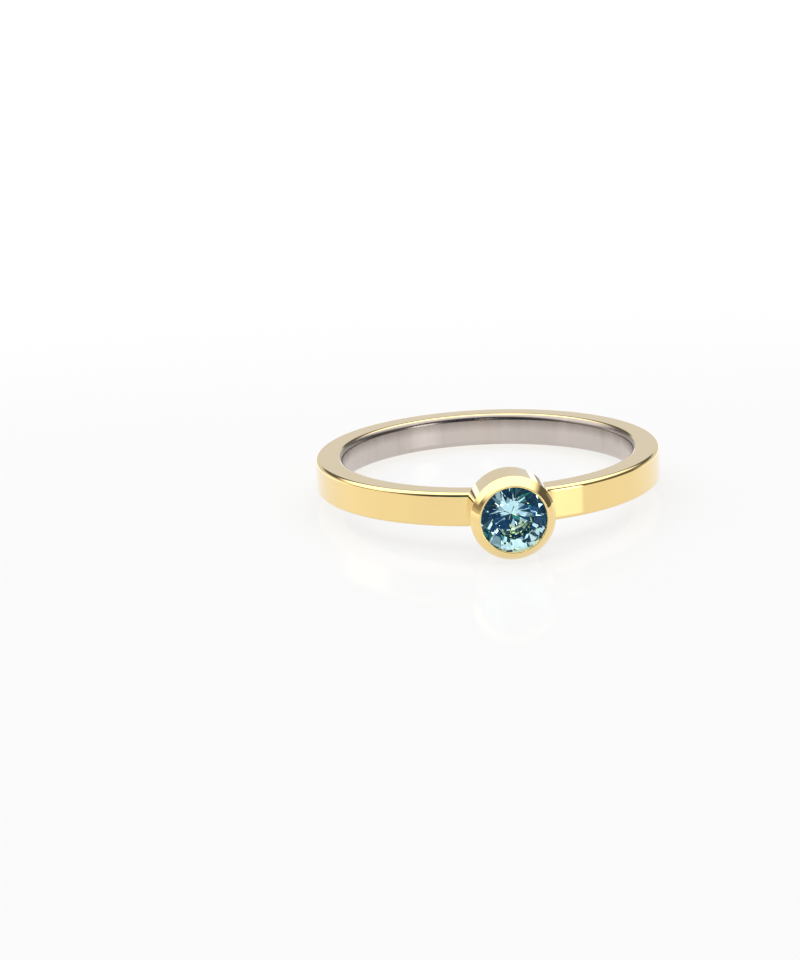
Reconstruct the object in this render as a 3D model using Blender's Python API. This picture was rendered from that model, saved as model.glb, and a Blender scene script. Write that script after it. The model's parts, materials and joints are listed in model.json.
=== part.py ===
"""A bezel-set ring, lying on its side as it comes to rest by itself.

A plain flat band carries a round bezel on its outside, soldered on as one body of metal, and a
round brilliant-cut stone sits in the bezel under its rim. The ring is worked out in a frame of its
own: the finger hole runs along Z, and the bezel looks along -Y. An empty then tilts and seats it, so
that it lies on the back edge of the band and on the front edge of the bezel. The origin is on the
floor, in the middle of the ring's box.
"""

import math

import bmesh
import bpy

MM = 0.001

# Band
BORE_DIAMETER = 17.3 * MM
BAND_WALL = 1.66 * MM
BAND_WIDTH = 2.0 * MM
BAND_EDGE_ROUNDING = 0.25 * MM
BORE_EDGE_ROUNDING = 0.38 * MM

# Bezel
BEZEL_DIAMETER = 4.84 * MM
BEZEL_HEIGHT = 1.96 * MM
BEZEL_SOLDER_DEPTH = 0.04 * MM
BEZEL_BACK_ROUNDING = 0.2 * MM
SHOULDER_ROUNDING = 0.06 * MM
RIM_HEIGHT = 0.52 * MM
RIM_CREST_WIDTH = 0.05 * MM
RIM_OVERLAP = 0.13 * MM
LIP_ROUNDING = 0.06 * MM
CREST_ROUNDING = 0.03 * MM

# Stone
STONE_DIAMETER = 4.0 * MM
STONE_TABLE_DIAMETER = 2.28 * MM
STONE_STAR_DIAMETER = 3.12 * MM
STONE_LOWER_BREAK_DIAMETER = 0.9 * MM
STONE_GIRDLE = 0.08 * MM
STONE_MAINS = 8
CROWN_ANGLE = math.radians(34.5)
PAVILION_ANGLE = math.radians(40.8)
TABLE_RECESS = 0.03 * MM

# Seat of the stone in the bezel
STONE_CLEARANCE = 0.04 * MM
SEAT_WIDTH = 0.2 * MM
POCKET_CLEARANCE = 0.12 * MM
POCKET_FLOOR_DIAMETER = 0.4 * MM

# Fineness of the round shapes
BAND_SIDES = 120
BEZEL_SIDES = 72
ROUNDING_STEPS = 4

# Finishes as colour, metallic and roughness
GOLD = ((0.83, 0.6, 0.28, 1.0), 1.0, 0.12)
BLUE_GLASS = ((0.12, 0.45, 0.6, 1.0), 0.0, 0.03)

# Places along the bezel's axis, measured from the axis of the finger hole
band_radius = BORE_DIAMETER / 2 + BAND_WALL
bezel_radius = BEZEL_DIAMETER / 2
band_fall_at_bezel = band_radius - math.sqrt(band_radius**2 - bezel_radius**2)
bezel_back = band_radius - band_fall_at_bezel - BEZEL_SOLDER_DEPTH
shoulder_place = band_radius + BEZEL_HEIGHT
lip_place = shoulder_place + RIM_HEIGHT
stone_radius = STONE_DIAMETER / 2
table_radius = STONE_TABLE_DIAMETER / 2
table_place = lip_place - TABLE_RECESS
girdle_top = table_place - (stone_radius - table_radius) * math.tan(CROWN_ANGLE)
girdle_bottom = girdle_top - STONE_GIRDLE
culet_place = girdle_bottom - stone_radius * math.tan(PAVILION_ANGLE)
opening_radius = stone_radius - RIM_OVERLAP
mouth_radius = opening_radius + LIP_ROUNDING
crest_radius = mouth_radius + RIM_CREST_WIDTH


def rounded(corners, closed):
    """Return the outline through (radius, height, rounding) corners, with an arc at each rounding."""
    outline = []
    count = len(corners)
    for index, (x, y, rounding) in enumerate(corners):
        if rounding == 0 or (not closed and index in (0, count - 1)):
            outline.append((x, y))
            continue
        before = corners[index - 1]
        after = corners[(index + 1) % count]
        in_length = math.hypot(x - before[0], y - before[1])
        out_length = math.hypot(after[0] - x, after[1] - y)
        in_way = ((x - before[0]) / in_length, (y - before[1]) / in_length)
        out_way = ((after[0] - x) / out_length, (after[1] - y) / out_length)
        turn = math.atan2(
            in_way[0] * out_way[1] - in_way[1] * out_way[0],
            in_way[0] * out_way[0] + in_way[1] * out_way[1],
        )
        side = math.copysign(1.0, turn)
        setback = rounding * math.tan(abs(turn) / 2)
        centre_x = x - in_way[0] * setback - in_way[1] * side * rounding
        centre_y = y - in_way[1] * setback + in_way[0] * side * rounding
        start = math.atan2(-in_way[0] * side, in_way[1] * side)
        for step in range(ROUNDING_STEPS + 1):
            angle = start + turn * step / ROUNDING_STEPS
            outline.append((centre_x + rounding * math.cos(angle), centre_y + rounding * math.sin(angle)))
    return outline


def band_outline():
    """Return the band's cross-section as (radius, height) points, once round."""
    bore_radius = BORE_DIAMETER / 2
    half_width = BAND_WIDTH / 2
    corners = [
        (bore_radius, -half_width, BORE_EDGE_ROUNDING),
        (band_radius, -half_width, BAND_EDGE_ROUNDING),
        (band_radius, half_width, BAND_EDGE_ROUNDING),
        (bore_radius, half_width, BORE_EDGE_ROUNDING),
    ]
    return rounded(corners, closed=True)


def bezel_outline():
    """Return the outside of the bezel as (radius, place) points, from its back to its front."""
    corners = [
        (0, bezel_back, 0),
        (bezel_radius, bezel_back, BEZEL_BACK_ROUNDING),
        (bezel_radius, shoulder_place, SHOULDER_ROUNDING),
        (crest_radius, lip_place, CREST_ROUNDING),
        (0, lip_place, 0),
    ]
    return rounded(corners, closed=False)


def pocket_outline():
    """Return the hollow that holds the stone as (radius, place) points, from its floor outwards."""
    floor = culet_place - POCKET_CLEARANCE
    floor_radius = POCKET_FLOOR_DIAMETER / 2
    seat_radius = stone_radius - SEAT_WIDTH
    groove_radius = stone_radius + STONE_CLEARANCE
    pavilion_at_seat = girdle_bottom - SEAT_WIDTH * math.tan(PAVILION_ANGLE)
    pocket_drop = POCKET_CLEARANCE / math.cos(PAVILION_ANGLE)
    seat_drop = STONE_CLEARANCE / math.cos(PAVILION_ANGLE)
    seat_end = girdle_bottom + STONE_CLEARANCE * math.tan(PAVILION_ANGLE) - seat_drop
    crown_rise = RIM_OVERLAP * math.tan(CROWN_ANGLE) + STONE_CLEARANCE / math.cos(CROWN_ANGLE)
    outside = lip_place + RIM_HEIGHT
    corners = [
        (0, floor, 0),
        (floor_radius, floor, 0),
        (seat_radius, pavilion_at_seat - pocket_drop, 0),
        (seat_radius, pavilion_at_seat - seat_drop, 0),
        (groove_radius, seat_end, 0),
        (groove_radius, girdle_top + STONE_CLEARANCE, 0),
        (opening_radius, girdle_top + STONE_CLEARANCE + crown_rise, 0),
    ]
    for step in range(ROUNDING_STEPS + 1):
        angle = math.pi / 2 * step / ROUNDING_STEPS
        flare = mouth_radius - LIP_ROUNDING * math.cos(angle)
        corners.append((flare, lip_place - LIP_ROUNDING * (1 - math.sin(angle)), 0))
    corners.append((mouth_radius, outside, 0))
    corners.append((0, outside, 0))
    return rounded(corners, closed=False)


def principled(name, finish):
    """Return a Principled material in a finish of colour, metallic and roughness."""
    colour, metallic, roughness = finish
    material = bpy.data.materials.new(name)
    material.use_nodes = True
    shader = material.node_tree.nodes["Principled BSDF"]
    shader.inputs["Base Color"].default_value = colour
    shader.inputs["Metallic"].default_value = metallic
    shader.inputs["Roughness"].default_value = roughness
    material.diffuse_color = colour
    return material


def new_object(name, shape, parent):
    """Put a closed bmesh into the scene as an object under a parent, with its faces outwards."""
    bmesh.ops.recalc_face_normals(shape, faces=shape.faces)
    mesh = bpy.data.meshes.new(name)
    shape.to_mesh(mesh)
    shape.free()
    piece = bpy.data.objects.new(name, mesh)
    bpy.context.scene.collection.objects.link(piece)
    piece.parent = parent
    return piece


def turned(name, outline, sides, closed, parent):
    """Turn an outline of (radius, height) points once round Z into a solid of so many sides."""
    shape = bmesh.new()
    points = [shape.verts.new((radius, 0, height)) for radius, height in outline]
    edges = [shape.edges.new(pair) for pair in zip(points, points[1:])]
    if closed:
        edges.append(shape.edges.new((points[-1], points[0])))
    bmesh.ops.spin(
        shape,
        geom=points + edges,
        cent=(0, 0, 0),
        axis=(0, 0, 1),
        angle=2 * math.pi,
        steps=sides,
        use_merge=True,
    )
    bmesh.ops.remove_doubles(shape, verts=shape.verts, dist=1e-7)
    piece = new_object(name, shape, parent)
    piece.data.shade_smooth()
    piece.data.set_sharp_from_angle(angle=math.radians(35))
    return piece


def look_forward(piece):
    """Lay a piece that was turned round Z along the bezel's axis, which looks along -Y."""
    piece.rotation_euler = (math.pi / 2, 0, 0)


def hidden_tool(piece):
    """Keep a piece that only shapes another one out of the model."""
    piece.hide_render = True
    piece.display_type = "WIRE"


def combine(piece, tool, operation):
    """Join a tool to a piece, or cut it out of it."""
    step = piece.modifiers.new(tool.name, "BOOLEAN")
    step.operation = operation
    step.solver = "EXACT"
    step.object = tool


def make_band_and_bezel(parent):
    """Solder the bezel to the band and cut the stone's pocket into it, as one body of metal."""
    metal = turned("band_and_bezel", band_outline(), BAND_SIDES, True, parent)
    bezel = turned("bezel_blank", bezel_outline(), BEZEL_SIDES, False, parent)
    pocket = turned("stone_pocket", pocket_outline(), BEZEL_SIDES, False, parent)
    for tool, operation in ((bezel, "UNION"), (pocket, "DIFFERENCE")):
        look_forward(tool)
        hidden_tool(tool)
        combine(metal, tool, operation)
    metal.data.materials.append(principled("polished_gold", GOLD))
    return metal


def make_stone(parent):
    """Cut a round brilliant: table, stars, kites and halves above the girdle, kites and halves below.

    A kite lies in one plane, because its side corners are put where the planes of two kites meet.
    """
    shape = bmesh.new()
    half_step = math.pi / STONE_MAINS
    narrowing = math.cos(half_step)
    star_radius = STONE_STAR_DIAMETER / 2
    break_radius = STONE_LOWER_BREAK_DIAMETER / 2
    star_place = girdle_top + (stone_radius - star_radius * narrowing) * math.tan(CROWN_ANGLE)
    break_place = girdle_bottom - (stone_radius - break_radius * narrowing) * math.tan(PAVILION_ANGLE)

    def ring(count, radius, place, start):
        angles = [start + 2 * math.pi * index / count for index in range(count)]
        return [shape.verts.new((radius * math.cos(a), radius * math.sin(a), place)) for a in angles]

    table = ring(STONE_MAINS, table_radius, table_place, 0)
    stars = ring(STONE_MAINS, star_radius, star_place, half_step)
    upper = ring(2 * STONE_MAINS, stone_radius, girdle_top, 0)
    lower = ring(2 * STONE_MAINS, stone_radius, girdle_bottom, 0)
    breaks = ring(STONE_MAINS, break_radius, break_place, half_step)
    culet = shape.verts.new((0, 0, culet_place))

    shape.faces.new(table)
    for index in range(STONE_MAINS):
        following = (index + 1) % STONE_MAINS
        main, half, next_main = 2 * index, 2 * index + 1, 2 * following
        shape.faces.new((table[index], stars[index - 1], upper[main], stars[index]))
        shape.faces.new((table[index], stars[index], table[following]))
        shape.faces.new((stars[index], upper[main], upper[half]))
        shape.faces.new((stars[index], upper[half], upper[next_main]))
        shape.faces.new((upper[main], lower[main], lower[half], upper[half]))
        shape.faces.new((upper[half], lower[half], lower[next_main], upper[next_main]))
        shape.faces.new((breaks[index], lower[main], lower[half]))
        shape.faces.new((breaks[index], lower[half], lower[next_main]))
        shape.faces.new((culet, breaks[index - 1], lower[main], breaks[index]))
    stone = new_object("stone", shape, parent)
    look_forward(stone)
    stone.data.materials.append(principled("blue_glass", BLUE_GLASS))
    return stone


def resting_tilt():
    """Return the angle by which the bezel's end is raised, from the line under both rounded edges."""
    along = band_radius - BAND_EDGE_ROUNDING + shoulder_place - SHOULDER_ROUNDING
    bezel_depth = bezel_radius - SHOULDER_ROUNDING
    band_depth = BAND_WIDTH / 2 - BAND_EDGE_ROUNDING
    across = bezel_depth - band_depth
    rounding_step = SHOULDER_ROUNDING - BAND_EDGE_ROUNDING
    return math.atan2(across, along) + math.asin(rounding_step / math.hypot(along, across))


def resting_place(tilt):
    """Return where the ring's centre goes, so that the box's bottom centre is the origin."""
    sine, cosine = math.sin(tilt), math.cos(tilt)
    depths = [place * sine - radius * cosine for radius, place in bezel_outline()]
    depths += [height * cosine - radius * sine for radius, height in band_outline()]
    fronts = [-place * cosine - radius * sine for radius, place in bezel_outline()]
    backs = [radius * cosine + height * sine for radius, height in band_outline()]
    return (0, -(min(fronts) + max(backs)) / 2, -min(depths))


def main():
    """Clear the scene and make the ring, tilted and seated on the floor."""
    for leftover in list(bpy.data.objects):
        bpy.data.objects.remove(leftover, do_unlink=True)
    tilt = resting_tilt()
    rest = bpy.data.objects.new("ring_at_rest", None)
    bpy.context.scene.collection.objects.link(rest)
    rest.rotation_euler = (-tilt, 0, 0)
    rest.location = resting_place(tilt)
    make_band_and_bezel(rest)
    make_stone(rest)


main()
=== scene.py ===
"""Looks of a bezel-set ring that lies on its side on a pale, glossy table.

The metal is one polished body: a flat band and a round bezel, both surfaces of revolution worked out
from rounded outlines and joined into one. A faceted stone with a mirrored back sits in the bezel.
Lengths are in metres. Shapes are worked out in the ring's own frame, in which the finger hole runs
along Z and the bezel looks along -Y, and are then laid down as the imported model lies.
"""

from __future__ import annotations

import json
import logging
import math
from dataclasses import dataclass, field
from enum import Enum

import bmesh
import bpy
import numpy as np
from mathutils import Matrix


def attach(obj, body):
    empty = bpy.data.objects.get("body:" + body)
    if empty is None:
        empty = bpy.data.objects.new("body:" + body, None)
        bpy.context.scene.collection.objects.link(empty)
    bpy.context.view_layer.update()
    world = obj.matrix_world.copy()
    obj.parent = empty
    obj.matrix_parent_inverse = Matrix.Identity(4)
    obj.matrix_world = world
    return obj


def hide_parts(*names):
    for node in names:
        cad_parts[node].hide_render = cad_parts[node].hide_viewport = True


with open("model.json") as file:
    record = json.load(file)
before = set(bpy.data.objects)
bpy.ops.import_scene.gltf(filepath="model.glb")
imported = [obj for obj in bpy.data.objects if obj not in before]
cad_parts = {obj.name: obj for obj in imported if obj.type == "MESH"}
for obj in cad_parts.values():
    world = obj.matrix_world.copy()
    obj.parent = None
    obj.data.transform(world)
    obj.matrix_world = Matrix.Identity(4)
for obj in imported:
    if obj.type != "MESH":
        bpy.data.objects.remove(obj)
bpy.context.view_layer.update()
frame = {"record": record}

MM = 0.001
LOG = logging.getLogger("ring")
Colour = tuple[float, float, float, float]
WHITE: Colour = (1.0, 1.0, 1.0, 1.0)
BLACK: Colour = (0.0, 0.0, 0.0, 1.0)
LEVEL = (1.0, 1.0, 0.0)
NOISE_MIDDLE = 0.5
TINY = 1e-9
Y, Z = 1, 2
# The places of a Mix node's colour sockets.
MIX_FIRST, MIX_SECOND, MIX_RESULT = 6, 7, 2


@dataclass(frozen=True)
class Grain:
    """A noise pattern: its bumps for each metre, its finer layers, and how strongly it shows."""

    scale: float
    detail: float
    share: float


class Part(Enum):
    """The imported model's nodes that this script shows anew."""

    METAL = "band_and_bezel"
    STONE = "stone"


class Finish(Enum):
    """The finishes that a user of the part can swap."""

    METAL = "polished_gold"
    STONE = "blue_stone"


# Shaders


class Value:
    """An output socket of a shader, on which sums are written as Python expressions."""

    def __init__(self, tree: Shader, socket: bpy.types.NodeSocket | None) -> None:
        """Wrap an output socket of the shader's tree, or none where a node has no output."""
        self.tree = tree
        self.socket = socket

    def __add__(self, other: Operand) -> Value:
        """Return self + other."""
        return self.tree.maths("ADD", self, other)

    def __radd__(self, other: Operand) -> Value:
        """Return other + self."""
        return self.tree.maths("ADD", other, self)

    def __sub__(self, other: Operand) -> Value:
        """Return self - other."""
        return self.tree.maths("SUBTRACT", self, other)

    def __rsub__(self, other: Operand) -> Value:
        """Return other - self."""
        return self.tree.maths("SUBTRACT", other, self)

    def __mul__(self, other: Operand) -> Value:
        """Return self * other."""
        return self.tree.maths("MULTIPLY", self, other)

    def __rmul__(self, other: Operand) -> Value:
        """Return other * self."""
        return self.tree.maths("MULTIPLY", other, self)

    def __truediv__(self, other: Operand) -> Value:
        """Return self / other."""
        return self.tree.maths("DIVIDE", self, other)

    def __rtruediv__(self, other: Operand) -> Value:
        """Return other / self."""
        return self.tree.maths("DIVIDE", other, self)


Operand = Value | float | tuple


class Shader:
    """A node tree that is built up from values, colours and vectors."""

    def __init__(self, tree: bpy.types.NodeTree) -> None:
        """Take a node tree to build in, and remove its nodes."""
        self.tree = tree
        tree.nodes.clear()

    def node(self, kind: str, settings: dict, inputs: dict, output: int | str = 0) -> Value:
        """Add a node.

        Args:
            kind: The node's type.
            settings: Its settings, which are set before its sockets.
            inputs: Values or links of its sockets, by name or place.
            output: The socket to return, by name or place.

        Returns:
            The chosen output as a value.
        """
        made = self.tree.nodes.new(kind)
        for name, setting in settings.items():
            setattr(made, name, setting)
        for place, given in inputs.items():
            if isinstance(given, Value):
                self.tree.links.new(given.socket, made.inputs[place])
            else:
                made.inputs[place].default_value = given
        return Value(self, made.outputs[output] if len(made.outputs) else None)

    def maths(self, operation: str, first: Operand, second: Operand = 0.0) -> Value:
        """Return the result of a Math node, which works on numbers."""
        return self.node("ShaderNodeMath", {"operation": operation}, {0: first, 1: second})

    def vectors(self, operation: str, first: Operand, second: Operand) -> Value:
        """Return the result of a Vector Math node, which works on vectors and colours."""
        return self.node("ShaderNodeVectorMath", {"operation": operation}, {0: first, 1: second})

    def part(self, vector: Value, place: int) -> Value:
        """Return a vector's part along X, Y or Z, by its place 0, 1 or 2."""
        return self.node("ShaderNodeSeparateXYZ", {}, {0: vector}, place)

    def grey(self, level: Operand) -> Value:
        """Return a colour of one level in red, green and blue."""
        return self.node("ShaderNodeCombineColor", {}, {0: level, 1: level, 2: level})

    def step(self, value: Value, low: float, high: float) -> Value:
        """Return a smooth step that is 0 where a value is at low and 1 where it is at high."""
        ends = {"Value": value, "From Min": low, "From Max": high}
        return self.node("ShaderNodeMapRange", {"interpolation_type": "SMOOTHSTEP"}, ends)

    def mix(self, share: Operand, first: Operand, second: Operand) -> Value:
        """Return a colour that goes from the first to the second with the share."""
        sockets = {"Factor": share, MIX_FIRST: first, MIX_SECOND: second}
        return self.node("ShaderNodeMix", {"data_type": "RGBA"}, sockets, MIX_RESULT)

    def noise(self, place: Value, grain: Grain) -> Value:
        """Return a grain's noise at a place, from 0 to 1, before its share."""
        sockets = {"Vector": place, "Scale": grain.scale, "Detail": grain.detail}
        return self.node("ShaderNodeTexNoise", {}, sockets)


# Shapes


@dataclass(frozen=True)
class RestingFrame:
    """Where the ring's own frame lies: the middle of the finger hole, and the tilt of its end."""

    centre: np.ndarray
    tilt: float

    @classmethod
    def from_record(cls, record: dict) -> RestingFrame:
        """Work the frame out from the two side mounts.

        The sides lie as far above as below the ring's middle plane, level with its middle along X.

        Args:
            record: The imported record.

        Returns:
            The frame in which the ring lies.
        """
        mounts = {mount["name"]: mount for mount in record["mounts"]}
        upper, lower = mounts["upper_side"], mounts["lower_side"]
        middle = (np.array(upper["pos_m"]) + np.array(lower["pos_m"])) / 2
        middle[0] = 0.0
        return cls(centre=middle, tilt=math.atan2(upper["axis"][1], upper["axis"][2]))

    @property
    def turn(self) -> np.ndarray:
        """The rotation about X, as a matrix, that raises the bezel's end by the tilt."""
        sine, cosine = math.sin(self.tilt), math.cos(self.tilt)
        return np.array([[1, 0, 0], [0, cosine, sine], [0, -sine, cosine]])

    def laid(self, points: np.ndarray) -> np.ndarray:
        """Return points of the ring's own frame where they lie in the model."""
        return points @ self.turn.T + self.centre

    def lifted(self, points: np.ndarray) -> np.ndarray:
        """Return points of the model in the ring's own frame."""
        return (points - self.centre) @ self.turn


@dataclass(frozen=True)
class Outline:
    """Points and outward normals of an outline of straight runs and arcs, interior on its left."""

    points: np.ndarray
    normals: np.ndarray
    closed: bool

    @classmethod
    def through(cls, corners: list[tuple[float, float, float]], closed: bool, steps: int) -> Outline:
        """Round each corner of a polygon with an arc.

        The arc's centre lies along the corner's two edges by the rounding times the tangent of half
        the turn, and beside them by the rounding. An open outline keeps its two ends as they are.

        Args:
            corners: Rows of across, along and rounding.
            closed: Whether the last corner joins the first.
            steps: Into how many pieces each arc is cut.

        Returns:
            The outline, with one normal at each point, since arcs meet their runs smoothly.
        """
        table = np.array(corners)
        place, rounding = table[:, :2], table[:, 2:3]
        way = np.roll(place, -1, axis=0) - place
        way /= np.linalg.norm(way, axis=1, keepdims=True)
        before = np.roll(way, 1, axis=0)
        cross = before[:, 0] * way[:, 1] - before[:, 1] * way[:, 0]
        turn = np.arctan2(cross, (before * way).sum(axis=1))[:, None]
        side = np.where(turn < 0, -1.0, 1.0)
        beside = np.stack([-before[:, 1], before[:, 0]], axis=1)
        centre = place - before * rounding * np.tan(np.abs(turn) / 2) + beside * side * rounding
        start = np.arctan2(-before[:, :1] * side, before[:, 1:] * side)
        angle = start + turn * np.linspace(0, 1, steps + 1)
        spoke = np.stack([np.cos(angle), np.sin(angle)], axis=2)
        points = centre[:, None] + rounding[:, None] * spoke
        normals = side[:, None] * spoke
        if closed:
            return cls(points.reshape(-1, 2), normals.reshape(-1, 2), True)
        ends = np.stack([way[:, 1], -way[:, 0]], axis=1)
        run = np.concatenate([place[:1], points[1:-1].reshape(-1, 2), place[-1:]])
        facing = np.concatenate([ends[:1], normals[1:-1].reshape(-1, 2), ends[-2:-1]])
        return cls(run, facing, False)

    def turned(self, sides: int) -> tuple[np.ndarray, list[np.ndarray]]:
        """Turn the outline once round Z.

        A point at (radius, height) goes to (radius cos a, radius sin a, height) at each angle a. An
        open outline starts and ends on the axis, where its faces meet in one point.

        Args:
            sides: Into how many pieces the turn is cut.

        Returns:
            The points, and the faces as arrays of their points' numbers.
        """
        angle = np.arange(sides) * 2 * np.pi / sides
        rows = self.points if self.closed else self.points[1:-1]
        radius, height = rows[:, :1], rows[:, 1:]
        grid = np.stack([radius * np.cos(angle), radius * np.sin(angle), height + 0 * angle], axis=2)
        number = np.arange(len(rows) * sides).reshape(len(rows), sides)
        beside = np.roll(number, -1, axis=1)
        above, above_beside = np.roll(number, -1, axis=0), np.roll(beside, -1, axis=0)
        quads = np.stack([number, beside, above_beside, above], axis=2)
        if self.closed:
            return grid.reshape(-1, 3), [quads.reshape(-1, 4)]
        foot, head = number.size, number.size + 1
        ends = np.array([[0, 0, self.points[0, 1]], [0, 0, self.points[-1, 1]]])
        lower = np.stack([beside[0], number[0], np.full(sides, foot)], axis=1)
        upper = np.stack([number[-1], beside[-1], np.full(sides, head)], axis=1)
        points = np.concatenate([grid.reshape(-1, 3), ends])
        return points, [quads[:-1].reshape(-1, 4), lower, upper]

    def nearest(self, across: np.ndarray, along: np.ndarray) -> tuple[np.ndarray, np.ndarray]:
        """Find the outline's nearest point to each of many points.

        Each point is dropped onto each run, and the run that it lies nearest to gives its distance
        and, between the normals of the run's two ends, its normal.

        Args:
            across: The points' places across the outline's axis.
            along: The points' places along it.

        Returns:
            The distances, and the unit normals.
        """
        start = self.points if self.closed else self.points[:-1]
        start_normal = self.normals if self.closed else self.normals[:-1]
        run = np.roll(self.points, -1, axis=0)[: len(start)] - start
        end_normal = np.roll(self.normals, -1, axis=0)[: len(start)]
        away = np.stack([across, along], axis=1)[:, None] - start[None]
        share = np.clip((away * run).sum(axis=2) / (run**2).sum(axis=1), 0, 1)
        distance = np.linalg.norm(away - share[..., None] * run, axis=2)
        best = distance.argmin(axis=1)
        row = np.arange(len(best))
        kept = share[row, best][:, None]
        normal = start_normal[best] * (1 - kept) + end_normal[best] * kept
        return distance[row, best], normal / np.linalg.norm(normal, axis=1, keepdims=True)


def new_piece(name: str, points: np.ndarray, faces: list[np.ndarray]) -> bpy.types.Object:
    """Put points and faces into the scene as a mesh object at the origin.

    Args:
        name: The object's name.
        points: The points, in the model's frame.
        faces: Arrays of faces, one array for each number of corners.

    Returns:
        The new object.
    """
    mesh = bpy.data.meshes.new(name)
    sizes = np.concatenate([np.full(len(part), part.shape[1]) for part in faces])
    corners = np.concatenate([part.ravel() for part in faces])
    mesh.vertices.add(len(points))
    mesh.vertices.foreach_set("co", points.astype(np.float32).ravel())
    mesh.loops.add(len(corners))
    mesh.loops.foreach_set("vertex_index", corners.astype(np.int32))
    mesh.polygons.add(len(sizes))
    mesh.polygons.foreach_set("loop_start", np.concatenate([[0], np.cumsum(sizes)[:-1]]).astype(np.int32))
    mesh.update(calc_edges=True)
    mesh.validate()
    piece = bpy.data.objects.new(name, mesh)
    bpy.context.scene.collection.objects.link(piece)
    return piece


def read(items: bpy.types.bpy_prop_collection, name: str, width: int, kind: type = float) -> np.ndarray:
    """Read an attribute of all of a mesh's vertices, corners or faces.

    Args:
        items: The mesh's vertices, corners or faces.
        name: The attribute.
        width: How many numbers it has for each of them.
        kind: The type of these numbers.

    Returns:
        One row for each of them.
    """
    values = np.zeros(len(items) * width, kind)
    items.foreach_get(name, values)
    return values.reshape(-1, width)


# Finishes


def principled(shader: Shader, inputs: dict) -> Value:
    """Add a Principled BSDF.

    Args:
        shader: The material's tree.
        inputs: The sockets that differ from the node's own values.

    Returns:
        The surface.
    """
    return shader.node("ShaderNodeBsdfPrincipled", {}, inputs)


def finished(shader: Shader, surface: Value, volume: Value | None = None) -> None:
    """Link a material's output.

    Args:
        shader: The material's tree.
        surface: The surface.
        volume: The volume, if there is one.
    """
    sockets = {"Surface": surface}
    if volume is not None:
        sockets["Volume"] = volume
    shader.node("ShaderNodeOutputMaterial", {}, sockets)


def new_material(name: str) -> tuple[bpy.types.Material, Shader]:
    """Start a material.

    Args:
        name: The material's name.

    Returns:
        The material, and the builder of its empty tree.
    """
    material = bpy.data.materials.new(name)
    material.use_nodes = True
    return material, Shader(material.node_tree)


@dataclass(frozen=True)
class PolishedMetal:
    """The ring's metal: gold colour outside, and bare grey inside the finger hole, with painted shade that
    darkens the grey towards the hole's top edge.
    """

    gold: Colour = (0.94, 0.70, 0.285, 1.0)
    grey: Colour = (0.60, 0.535, 0.50, 1.0)
    # Painted shade: the darker grey that the finger hole's bare metal fades to towards its top edge,
    # between the two heights below.
    painted_shade_grey: Colour = (0.33, 0.285, 0.255, 1.0)
    painted_shade_places: tuple[float, float] = (-0.1 * MM, 0.8 * MM)
    gold_roughness: float = 0.035
    grey_roughness: float = 0.22
    coat: float = 1.0
    coat_roughness: float = 0.03
    plating_fade: float = 0.02 * MM
    worn_gold: Colour = (0.80, 0.58, 0.23, 1.0)
    wear: Grain = Grain(900.0, 4.0, 0.25)
    scratches: Grain = Grain(5000.0, 3.0, 0.02)
    waves: Grain = Grain(350.0, 1.0, 0.012 * MM)
    streaks: Grain = Grain(1300.0, 3.0, 0.7)
    draw: tuple[float, float, float] = (1.0, 1.0, 0.08)

    def material(self, rest: RestingFrame, plated_from: float) -> bpy.types.Material:
        """Make the material.

        Args:
            rest: Where the ring lies, to turn the pattern with it.
            plated_from: The radius, round the finger hole's axis, at which the gold colour begins.

        Returns:
            The material.
        """
        material, shader = new_material(Finish.METAL.value)
        place = shader.node("ShaderNodeTexCoord", {}, {}, "Object")
        moved = shader.vectors("SUBTRACT", place, tuple(rest.centre))
        rotation = {"Vector": moved, "Rotation": (rest.tilt, 0, 0)}
        turned = shader.node("ShaderNodeMapping", {"vector_type": "POINT"}, rotation)
        flat = shader.vectors("MULTIPLY", turned, LEVEL)
        radius = shader.node("ShaderNodeVectorMath", {"operation": "LENGTH"}, {0: flat}, "Value")
        plated = shader.step(radius, plated_from - self.plating_fade, plated_from + self.plating_fade)
        worn = shader.noise(turned, self.wear) * self.wear.share
        tint = shader.mix(worn, self.gold, self.worn_gold)
        drawn = shader.vectors("MULTIPLY", turned, self.draw)
        streaks = (shader.noise(drawn, self.streaks) - NOISE_MIDDLE) * self.streaks.share
        # Painted shade: the bare grey darkens towards the finger hole's top edge. The streaks are the
        # metal's own polishing lines.
        painted_shade = shader.step(shader.part(turned, Z), *self.painted_shade_places)
        bare = shader.mix(painted_shade + streaks, self.grey, self.painted_shade_grey)
        colour = shader.mix(plated, bare, tint)
        rough = self.grey_roughness + plated * (self.gold_roughness - self.grey_roughness)
        scratches = shader.noise(turned, self.scratches) * self.scratches.share
        heights = {"Distance": self.waves.share, "Height": shader.noise(turned, self.waves)}
        waves = shader.node("ShaderNodeBump", {}, heights)
        surface = principled(
            shader,
            {
                "Base Color": colour,
                "Metallic": 1.0,
                "Roughness": rough + scratches,
                "Coat Weight": plated * self.coat,
                "Coat Roughness": self.coat_roughness,
                "Normal": waves,
            },
        )
        finished(shader, surface)
        return material


# The ring's pieces


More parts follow.
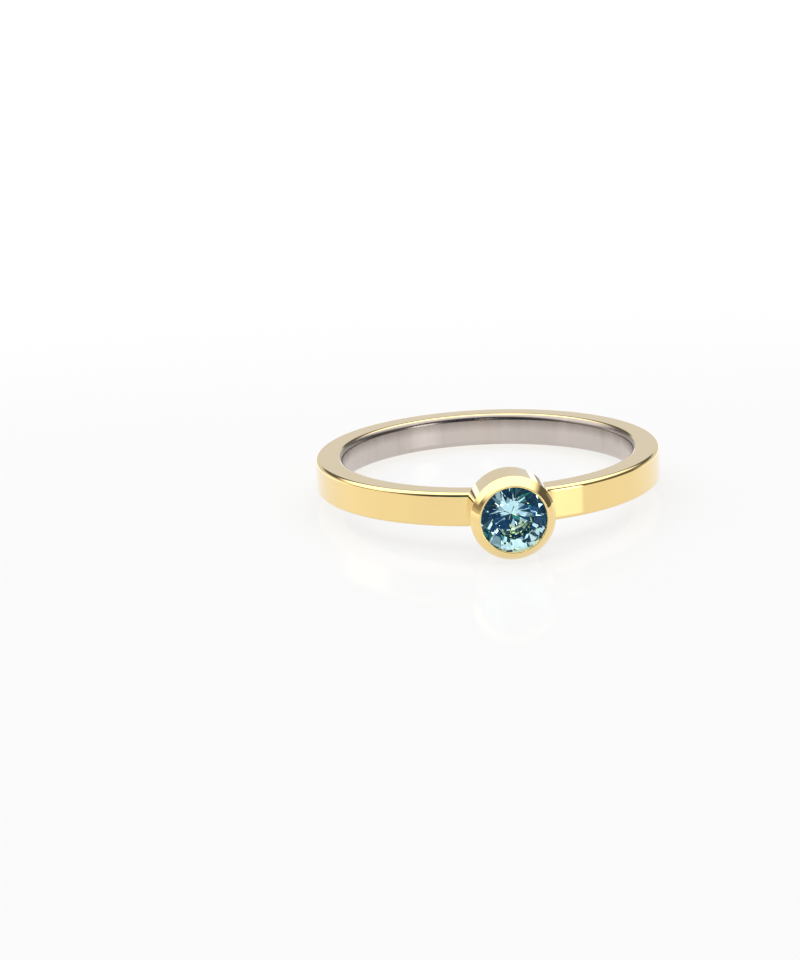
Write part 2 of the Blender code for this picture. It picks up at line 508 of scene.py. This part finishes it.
@dataclass(frozen=True)
class Band:
    """The flat band: its sizes, and its outline as radius and height."""

    bore_diameter: float = 17.3 * MM
    wall: float = 1.66 * MM
    width: float = 2.0 * MM
    edge_rounding: float = 0.25 * MM
    bore_edge_rounding: float = 0.38 * MM
    bare_edge: float = 0.19 * MM
    sides: int = 360
    arc_steps: int = 12

    @property
    def bore_radius(self) -> float:
        """The radius of the finger hole."""
        return self.bore_diameter / 2

    @property
    def plated_from(self) -> float:
        """The radius at which the bare metal of the finger hole ends."""
        return self.bore_radius + self.bare_edge

    @property
    def radius(self) -> float:
        """The band's outer radius."""
        return self.bore_radius + self.wall

    def outline(self) -> Outline:
        """Work out the band's cross-section.

        Returns:
            The outline, once round.
        """
        half = self.width / 2
        corners = [
            (self.bore_radius, -half, self.bore_edge_rounding),
            (self.radius, -half, self.edge_rounding),
            (self.radius, half, self.edge_rounding),
            (self.bore_radius, half, self.bore_edge_rounding),
        ]
        return Outline.through(corners, True, self.arc_steps)


@dataclass(frozen=True)
class Stone:
    """The round stone: its sizes, and where its parts lie along the bezel's axis."""

    lip_place: float
    diameter: float = 4.0 * MM
    table_diameter: float = 2.28 * MM
    star_diameter: float = 3.12 * MM
    lower_break_diameter: float = 0.9 * MM
    girdle: float = 0.08 * MM
    mains: int = 8
    crown_angle: float = math.radians(34.5)
    pavilion_angle: float = math.radians(40.8)
    table_recess: float = 0.03 * MM

    @property
    def radius(self) -> float:
        """The girdle's radius."""
        return self.diameter / 2

    @property
    def table_place(self) -> float:
        """Where the table lies."""
        return self.lip_place - self.table_recess

    @property
    def girdle_top(self) -> float:
        """Where the crown begins."""
        return self.table_place - (self.radius - self.table_diameter / 2) * math.tan(self.crown_angle)

    @property
    def girdle_bottom(self) -> float:
        """Where the pavilion begins."""
        return self.girdle_top - self.girdle

    @property
    def culet_place(self) -> float:
        """Where the stone's point lies."""
        return self.girdle_bottom - self.radius * math.tan(self.pavilion_angle)

    def facets(self) -> tuple[np.ndarray, list[np.ndarray]]:
        """Cut a round brilliant.

        Rings of points at the table, the stars' ends, the two edges of the girdle and the pavilion's
        breaks are joined into kites, triangles and quads. A kite lies in one plane, because its side
        corners are put where the planes of two kites meet, at the radius times the cosine of half a
        step.

        Returns:
            The points, and the faces in arrays by their numbers of corners: the table, the kites and
            girdle, and the triangles.
        """
        count = self.mains
        half = math.pi / count
        narrowing = math.cos(half)
        star, lower_break = self.star_diameter / 2, self.lower_break_diameter / 2
        star_place = self.girdle_top + (self.radius - star * narrowing) * math.tan(self.crown_angle)
        break_drop = (self.radius - lower_break * narrowing) * math.tan(self.pavilion_angle)
        rings = [
            (count, self.table_diameter / 2, self.table_place, 0.0),
            (count, star, star_place, half),
            (2 * count, self.radius, self.girdle_top, 0.0),
            (2 * count, self.radius, self.girdle_bottom, 0.0),
            (count, lower_break, self.girdle_bottom - break_drop, half),
        ]
        points = []
        for number, radius, place, start in rings:
            angle = start + np.arange(number) * 2 * np.pi / number
            points.append(np.stack([radius * np.cos(angle), radius * np.sin(angle), place + 0 * angle], 1))
        points.append(np.array([[0, 0, self.culet_place]]))
        index = np.arange(count)
        following, preceding = (index + 1) % count, (index - 1) % count
        table, stars = index, count + index
        upper, lower = 2 * count, 4 * count
        breaks, culet = 6 * count + index, np.full(count, 7 * count)
        main, middle, next_main = 2 * index, 2 * index + 1, 2 * following
        crown_kites = np.stack([table, stars[preceding], upper + main, stars], 1)
        star_faces = np.stack([table, stars, table[following]], 1)
        upper_halves = [(stars, upper + main, upper + middle), (stars, upper + middle, upper + next_main)]
        girdle = [
            (upper + main, lower + main, lower + middle, upper + middle),
            (upper + middle, lower + middle, lower + next_main, upper + next_main),
        ]
        lower_halves = [(breaks, lower + main, lower + middle), (breaks, lower + middle, lower + next_main)]
        lower_halves = [tuple(reversed(face)) for face in lower_halves]
        pavilion_kites = np.stack([breaks, lower + main, breaks[preceding], culet], 1)
        halves = [np.stack(face, 1) for face in upper_halves + lower_halves]
        triangles = np.concatenate([star_faces] + halves)
        quads = np.concatenate([crown_kites] + [np.stack(face, 1) for face in girdle] + [pavilion_kites])
        return np.concatenate(points), [table[None], quads, triangles]


@dataclass(frozen=True)
class Bezel:
    """The round bezel: its sizes, and its outline as radius and place along its axis."""

    band_radius: float
    diameter: float = 4.84 * MM
    height: float = 1.96 * MM
    solder_depth: float = 0.04 * MM
    back_rounding: float = 0.2 * MM
    shoulder_rounding: float = 0.06 * MM
    rim_height: float = 0.52 * MM
    rim_crest_width: float = 0.05 * MM
    rim_dome: float = 0.03 * MM
    rim_dome_rounding: float = 1.3 * MM
    rim_overlap: float = 0.13 * MM
    lip_rounding: float = 0.06 * MM
    crest_rounding: float = 0.03 * MM
    stone_clearance: float = 0.04 * MM
    seat_width: float = 0.2 * MM
    pocket_clearance: float = 0.12 * MM
    pocket_floor_diameter: float = 0.4 * MM
    pocket_rounding: float = 0.02 * MM
    sides: int = 240
    arc_steps: int = 8

    @property
    def radius(self) -> float:
        """The bezel's outer radius."""
        return self.diameter / 2

    @property
    def back(self) -> float:
        """Where the bezel's back lies, sunk by the solder's depth below the band's face beside it."""
        return math.sqrt(self.band_radius**2 - self.radius**2) - self.solder_depth

    @property
    def shoulder(self) -> float:
        """Where the straight wall ends and the rim begins."""
        return self.band_radius + self.height

    @property
    def lip(self) -> float:
        """Where the bezel's front lies."""
        return self.shoulder + self.rim_height

    def outline(self, stone: Stone) -> Outline:
        """Return the outline: out along the back, up the wall, over the rim, and down the pocket.

        Args:
            stone: The stone that the pocket holds.

        Returns:
            The outline, from the back's middle to the pocket floor's middle.
        """
        opening = stone.radius - self.rim_overlap
        mouth = opening + self.lip_rounding
        groove = stone.radius + self.stone_clearance
        seat = stone.radius - self.seat_width
        rise, fall = math.tan(stone.crown_angle), math.tan(stone.pavilion_angle)
        seat_drop = self.stone_clearance / math.cos(stone.pavilion_angle)
        pocket_drop = self.pocket_clearance / math.cos(stone.pavilion_angle)
        under_rim = stone.girdle_top + self.stone_clearance
        under_lip = under_rim + self.rim_overlap * rise + self.stone_clearance / math.cos(stone.crown_angle)
        seat_end = stone.girdle_bottom + self.stone_clearance * fall - seat_drop
        pavilion_at_seat = stone.girdle_bottom - self.seat_width * fall
        floor = stone.culet_place - self.pocket_clearance
        crest = mouth + self.rim_crest_width
        slant = math.hypot(self.radius - crest, self.rim_height)
        dome_across = (self.radius + crest) / 2 + self.rim_dome * self.rim_height / slant
        dome_along = (self.shoulder + self.lip) / 2 + self.rim_dome * (self.radius - crest) / slant
        small = self.pocket_rounding
        corners = [
            (0, self.back, 0),
            (self.radius, self.back, self.back_rounding),
            (self.radius, self.shoulder, self.shoulder_rounding),
            (dome_across, dome_along, self.rim_dome_rounding),
            (crest, self.lip, self.crest_rounding),
            (opening, self.lip, self.lip_rounding),
            (opening, under_lip, small),
            (groove, under_rim, small),
            (groove, seat_end, small),
            (seat, pavilion_at_seat - seat_drop, small),
            (seat, pavilion_at_seat - pocket_drop, small),
            (self.pocket_floor_diameter / 2, floor, small),
            (0, floor, 0),
        ]
        return Outline.through(corners, False, self.arc_steps)


@dataclass
class RingMetal:
    """The band and the bezel as one body of metal."""

    rest: RestingFrame
    band: Band = field(default_factory=Band)
    weld: float = 0.0005 * MM

    def __post_init__(self) -> None:
        """Work out the bezel and the stone that the band carries."""
        self.bezel = Bezel(band_radius=self.band.radius)
        self.stone = Stone(lip_place=self.bezel.lip)

    def facing(self, points: np.ndarray) -> np.ndarray:
        """Return the points of a piece turned round Z with its axis laid along -Y."""
        return np.stack([points[:, 0], -points[:, 2], points[:, 1]], axis=1)

    def build(self) -> bpy.types.Object:
        """Join the band's and the bezel's surfaces, and give the body its exact normals.

        Returns:
            The finished body.
        """
        band_points, band_faces = self.band.outline().turned(self.band.sides)
        bezel_points, bezel_faces = self.bezel.outline(self.stone).turned(self.bezel.sides)
        body = new_piece("ring_metal", self.rest.laid(band_points), band_faces)
        blank = new_piece("bezel_blank", self.rest.laid(self.facing(bezel_points)), bezel_faces)
        joint = body.modifiers.new("solder", "BOOLEAN")
        joint.operation = "UNION"
        joint.solver = "EXACT"
        joint.object = blank
        evaluated = body.evaluated_get(bpy.context.evaluated_depsgraph_get())
        joined = bpy.data.meshes.new_from_object(evaluated)
        body.modifiers.clear()
        body.data = joined
        bpy.data.objects.remove(blank, do_unlink=True)
        seam = bmesh.new()
        seam.from_mesh(joined)
        bmesh.ops.remove_doubles(seam, verts=seam.verts, dist=self.weld)
        seam.to_mesh(joined)
        seam.free()
        self.smooth(joined)
        return body

    def against(self, outline: Outline, axis: int, places: np.ndarray) -> tuple[np.ndarray, np.ndarray]:
        """Measure points against a surface that is its outline turned round an axis.

        Args:
            outline: The surface's outline.
            axis: Its axis: Z for the band's, and Y for the bezel's, which looks along -Y.
            places: The points, in the ring's own frame.

        Returns:
            Each point's distance from the surface, and the surface's normal there.
        """
        sign = 1 if axis == Z else -1
        across = np.delete(places, axis, axis=1)
        radius = np.linalg.norm(across, axis=1)
        gap, normal = outline.nearest(radius, places[:, axis] * sign)
        spoke = across / np.maximum(radius, TINY)[:, None]
        return gap, np.insert(spoke * normal[:, :1], axis, normal[:, 1] * sign, axis=1)

    def smooth(self, mesh: bpy.types.Mesh) -> None:
        """Set each corner's normal to that of the surface, band or bezel, that its face lies on.

        Args:
            mesh: The joined mesh, in the model's frame.
        """
        band, bezel = (self.band.outline(), Z), (self.bezel.outline(self.stone), Y)
        places = self.rest.lifted(read(mesh.vertices, "co", 3))
        middles = self.rest.lifted(read(mesh.polygons, "center", 3))
        corner_point = read(mesh.loops, "vertex_index", 1, int)[:, 0]
        corners = read(mesh.polygons, "loop_total", 1, int)[:, 0]
        nearer_bezel = self.against(*bezel, middles)[0] < self.against(*band, middles)[0]
        on_bezel = np.repeat(nearer_bezel, corners)[:, None]
        band_normal = self.against(*band, places)[1][corner_point]
        bezel_normal = self.against(*bezel, places)[1][corner_point]
        normals = np.where(on_bezel, bezel_normal, band_normal) @ self.rest.turn.T
        mesh.polygons.foreach_set("use_smooth", np.ones(len(mesh.polygons), bool))
        mesh.normals_split_custom_set(normals.tolist())

    def dress(self, body: bpy.types.Object, finish: PolishedMetal) -> None:
        """Give the body its finish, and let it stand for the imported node.

        Args:
            body: The joined body.
            finish: The metal's finish.
        """
        material = finish.material(self.rest, self.band.plated_from)
        body.data.materials.clear()
        body.data.materials.append(material)
        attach(body, "root")
        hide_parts(Part.METAL.value)


@dataclass(frozen=True)
class BlueCrystal:
    """The stone's finish: clear blue-green glass, with a mirrored layer behind the pavilion."""

    foil: Colour = (0.97, 1.0, 1.0, 1.0)
    foil_roughness: float = 0.02
    ior: float = 1.56
    sheen: Colour = (0.07, 0.42, 1.0, 1.0)
    absorption_colour: Colour = (0.1, 0.8, 1.0, 1.0)
    absorption: float = 115.0

    def clear(self) -> bpy.types.Material:
        """Make the material of the crown.

        Returns:
            Clear glass that absorbs red light.
        """
        material, shader = new_material(Finish.STONE.value)
        surface = principled(
            shader,
            {
                "Base Color": WHITE,
                "Roughness": 0.0,
                "IOR": self.ior,
                "Transmission Weight": 1.0,
                "Specular Tint": self.sheen,
            },
        )
        depth = shader.node(
            "ShaderNodeVolumeAbsorption",
            {},
            {"Color": self.absorption_colour, "Density": self.absorption},
        )
        finished(shader, surface, depth)
        return material

    def mirrored(self) -> bpy.types.Material:
        """Make the material of the pavilion.

        Returns:
            A mirror of nearly white metal.
        """
        material, shader = new_material("mirrored_back")
        mirror = {"Base Color": self.foil, "Metallic": 1.0, "Roughness": self.foil_roughness}
        surface = principled(shader, mirror)
        finished(shader, surface)
        return material


@dataclass
class RingStone:
    """The stone as it sits in the bezel."""

    metal: RingMetal

    def build(self) -> bpy.types.Object:
        """Cut the stone and lay it in the bezel.

        Returns:
            The finished stone.
        """
        points, faces = self.metal.stone.facets()
        piece = new_piece("stone_cut", self.metal.rest.laid(self.metal.facing(points)), faces)
        piece.data.shade_flat()
        return piece

    def dress(self, piece: bpy.types.Object, finish: BlueCrystal) -> None:
        """Give the crown clear glass and the pavilion its mirrored layer.

        Args:
            piece: The cut stone.
            finish: The stone's finish.
        """
        piece.data.materials.append(finish.clear())
        piece.data.materials.append(finish.mirrored())
        places = -self.metal.rest.lifted(read(piece.data.polygons, "center", 3))[:, Y]
        behind = places < self.metal.stone.girdle_bottom
        piece.data.polygons.foreach_set("material_index", behind.astype(np.int32))
        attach(piece, "root")
        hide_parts(Part.STONE.value)


# Surroundings


@dataclass(frozen=True)
class Table:
    """The pale glossy table that the ring lies on, which is also lit softly from below."""

    half_side: float = 1.5
    colour: Colour = (0.14, 0.14, 0.14, 1.0)
    glow: float = 0.785
    roughness: float = 0.1
    gloss: float = 0.03

    def build(self) -> None:
        """Lay the table under the ring."""
        corners = np.array([[-1, -1, 0], [1, -1, 0], [1, 1, 0], [-1, 1, 0]]) * self.half_side
        table = new_piece("table", corners, [np.array([[0, 1, 2, 3]])])
        material, shader = new_material("table_gloss")
        finished(
            shader,
            principled(
                shader,
                {
                    "Base Color": self.colour,
                    "Roughness": self.roughness,
                    "Specular IOR Level": self.gloss,
                    "Emission Color": WHITE,
                    "Emission Strength": self.glow,
                },
            ),
        )
        table.data.materials.append(material)


@dataclass(frozen=True)
class Patch:
    """A part of the studio with a light of its own, between two azimuths and two elevations.

    Azimuths are measured from straight in front of the ring towards its right.
    """

    azimuths: tuple[float, float]
    elevations: tuple[float, float]
    colour: Colour
    fade: float = 1.5

    def light(self, shader: Shader, azimuth: Value, elevation: Value) -> Value:
        """Return the patch's light by direction.

        Args:
            shader: The world's node tree.
            azimuth: The direction's azimuth, in degrees.
            elevation: Its elevation, in degrees.

        Returns:
            The patch's colour inside and black outside.
        """
        left, right = self.azimuths
        low, high = self.elevations
        inside = (
            shader.step(azimuth, left - self.fade, left + self.fade)
            * shader.step(azimuth, right + self.fade, right - self.fade)
            * shader.step(elevation, low - self.fade, low + self.fade)
            * shader.step(elevation, high + self.fade, high - self.fade)
        )
        return shader.mix(inside, BLACK, self.colour)


@dataclass(frozen=True)
class Studio:
    """Soft studio light all round, as colour by direction.

    A large panel hangs overhead, given on a level plane at unit height. A pale wall stands behind the
    ring and a dark one in front of it, and a few patches light the front. Each pair of numbers says
    where one of these has faded out and where it is whole.
    """

    panel: float = 2.05
    panel_left: tuple[float, float] = (-4.5, -0.8)
    panel_right: tuple[float, float] = (1.8, 0.6)
    panel_front: tuple[float, float] = (-0.6, -0.2)
    panel_back: tuple[float, float] = (1.8, 0.9)
    wall: float = 0.6
    wall_edge: tuple[float, float] = (0.2, 0.5)
    wall_top: tuple[float, float] = (0.32, 0.24)
    surround: Colour = (0.13, 0.13, 0.13, 1.0)
    dark: Colour = (0.014, 0.032, 0.066, 1.0)
    dark_edge: tuple[float, float] = (0.5, 0.75)
    dark_top: tuple[float, float] = (0.75, 0.6)
    seen: float = 0.97
    horizon: float = 0.02
    least_height: float = 0.001
    patches: tuple[Patch, ...] = (
        Patch((36, 57), (-90, 25), (3.0, 3.0, 3.0, 1.0)),
        Patch((-10, -3), (24, 32), (4.0, 4.0, 4.0, 1.0)),
        Patch((-40, 40), (-2, 5), (0.5, 0.5, 0.5, 1.0)),
        Patch((-24, -14), (8, 20), (0.06, 0.24, 0.13, 1.0), 3.0),
        Patch((-29, -23), (27, 31), (0.06, 0.24, 0.13, 1.0), 2.0),
        Patch((-140, -62), (-5, 20), (0.2, 0.17, 0.14, 1.0), 9.0),
        Patch((-140, -62), (-10, 5), (0.45, 0.42, 0.38, 1.0), 7.0),
    )

    def build(self) -> None:
        """Set the world's light."""
        world = bpy.data.worlds.new("studio")
        world.use_nodes = True
        bpy.context.scene.world = world
        shader = Shader(world.node_tree)
        way = shader.node("ShaderNodeTexCoord", {}, {}, "Generated")
        x, y, z = (shader.part(way, place) for place in range(3))
        height = shader.maths("MAXIMUM", z, self.least_height)
        across, back = x / height, y / height
        panel = (
            shader.step(across, *self.panel_left)
            * shader.step(across, *self.panel_right)
            * shader.step(back, *self.panel_front)
            * shader.step(back, *self.panel_back)
            * shader.step(z, 0.0, self.horizon)
        )
        wall = shader.step(y, *self.wall_edge) * shader.step(z, *self.wall_top) * self.wall
        shade = shader.step(0 - y, *self.dark_edge) * shader.step(z, *self.dark_top)
        total = shader.mix(shade, self.surround, self.dark)
        total = shader.vectors("ADD", total, shader.mix(panel, shader.grey(wall), shader.grey(self.panel)))
        azimuth = shader.maths("DEGREES", shader.maths("ARCTAN2", x, 0 - y))
        elevation = shader.maths("DEGREES", shader.maths("ARCSINE", z))
        for patch in self.patches:
            total = shader.vectors("ADD", total, patch.light(shader, azimuth, elevation))
        lit = shader.node("ShaderNodeBackground", {}, {"Color": total, "Strength": 1.0})
        shown = shader.node("ShaderNodeBackground", {}, {"Color": WHITE, "Strength": self.seen})
        direct = shader.node("ShaderNodeLightPath", {}, {}, "Is Camera Ray")
        both = shader.node("ShaderNodeMixShader", {}, {0: direct, 1: lit, 2: shown})
        shader.node("ShaderNodeOutputWorld", {}, {"Surface": both})


@dataclass(frozen=True)
class PhotoCamera:
    """The camera, at the photograph's angle to the ring and at its distance."""

    elevation: float = math.radians(18.256)
    azimuth: float = math.radians(4.45)
    roll: float = math.radians(-2.519)
    distance: float = 179.6 * MM
    focal_length: float = 112.32
    sensor: float = 36.0
    clip_share: float = 0.01
    image_size: tuple[int, int] = (800, 960)
    hole_centre: tuple[float, float] = (487.7, 464.7)

    def build(self, centre: np.ndarray) -> None:
        """Place the camera so that the finger hole's middle shows where the photograph has it.

        Args:
            centre: The middle of the finger hole.
        """
        sine, cosine = math.sin(self.elevation), math.cos(self.elevation)
        forward = np.array([0, cosine, -sine])
        level, upright = np.array([1.0, 0, 0]), np.array([0, sine, cosine])
        right = math.cos(self.roll) * level + math.sin(self.roll) * upright
        up = -math.sin(self.roll) * level + math.cos(self.roll) * upright
        pixels = self.focal_length / self.sensor * max(self.image_size)
        shift_right = (self.hole_centre[0] - self.image_size[0] / 2) / pixels
        shift_up = -(self.hole_centre[1] - self.image_size[1] / 2) / pixels
        place = -self.distance * (forward + shift_right * right + shift_up * up)
        sine, cosine = math.sin(-self.azimuth), math.cos(-self.azimuth)
        turn = np.array([[cosine, -sine, 0], [sine, cosine, 0], [0, 0, 1]])
        matrix = np.eye(4)
        matrix[:3, :3] = turn @ np.stack([right, up, -forward], axis=1)
        matrix[:3, 3] = turn @ place + centre
        data = bpy.data.cameras.new("camera")
        data.lens = self.focal_length
        data.sensor_width = self.sensor
        data.clip_start = self.distance * self.clip_share
        camera = bpy.data.objects.new("camera", data)
        camera.matrix_world = matrix.T.tolist()
        bpy.context.scene.collection.objects.link(camera)
        bpy.context.scene.camera = camera


def main() -> None:
    """Build the ring, the table, the light and the camera."""
    logging.basicConfig(level=logging.INFO, format="%(name)s: %(message)s")
    bpy.context.scene.view_settings.view_transform = "Standard"
    rest = RestingFrame.from_record(frame["record"])
    metal = RingMetal(rest)
    body = metal.build()
    metal.dress(body, PolishedMetal())
    LOG.info("%s: %d faces", body.name, len(body.data.polygons))
    setting = RingStone(metal)
    stone = setting.build()
    setting.dress(stone, BlueCrystal())
    LOG.info("%s: %d faces", stone.name, len(stone.data.polygons))
    Table().build()
    Studio().build()
    PhotoCamera().build(rest.centre)
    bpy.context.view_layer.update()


if __name__ == "__main__":
    main()
